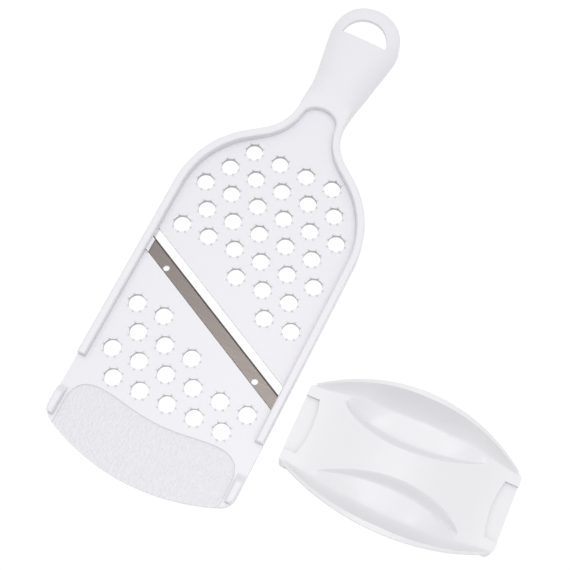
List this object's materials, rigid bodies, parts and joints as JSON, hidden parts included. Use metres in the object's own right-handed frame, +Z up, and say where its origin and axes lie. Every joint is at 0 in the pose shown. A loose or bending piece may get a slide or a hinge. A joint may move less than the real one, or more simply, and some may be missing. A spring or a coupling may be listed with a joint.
{
  "type": "hand-held vegetable grater",
  "caption": "Flat hand-held white plastic grater with toothed round holes, a diagonal steel slicing blade, a hollow handle and a loose sliding food holder beside it.",
  "frame": {"origin": "on the table, under the middle of the whole: the grater and the holder that lies beside it", "axes": "+Y from the grater's lower end towards its handle, +X from the grater towards the loose food holder, +Z up"},
  "size_m": [0.2374, 0.307, 0.0308],
  "materials": {
    "white_plastic": "white moulded ABS, satin, with a leather-like texture on the end panel",
    "holder_plastic": "white moulded ABS, satin",
    "blade_steel": "ground stainless strip, bevelled along one edge",
    "pin_steel": "drawn stainless wire with a ground point"
  },
  "bodies": {
    "grater": {"grater_body": "white_plastic", "slicing_blade": "blade_steel"},
    "holder": {"food_holder": "holder_plastic", "food_pin_01": "pin_steel", "food_pin_02": "pin_steel", "food_pin_03": "pin_steel", "food_pin_04": "pin_steel", "food_pin_05": "pin_steel", "food_pin_06": "pin_steel", "food_pin_07": "pin_steel", "food_pin_08": "pin_steel", "food_pin_09": "pin_steel", "food_pin_10": "pin_steel", "food_pin_11": "pin_steel", "food_pin_12": "pin_steel", "food_pin_13": "pin_steel"}
  },
  "joints": [
    {"name": "holder_lift", "type": "slide", "parent": "grater", "child": "holder", "axis": [0, 0, 1], "range_m": [0, 0.12]}
  ]
}
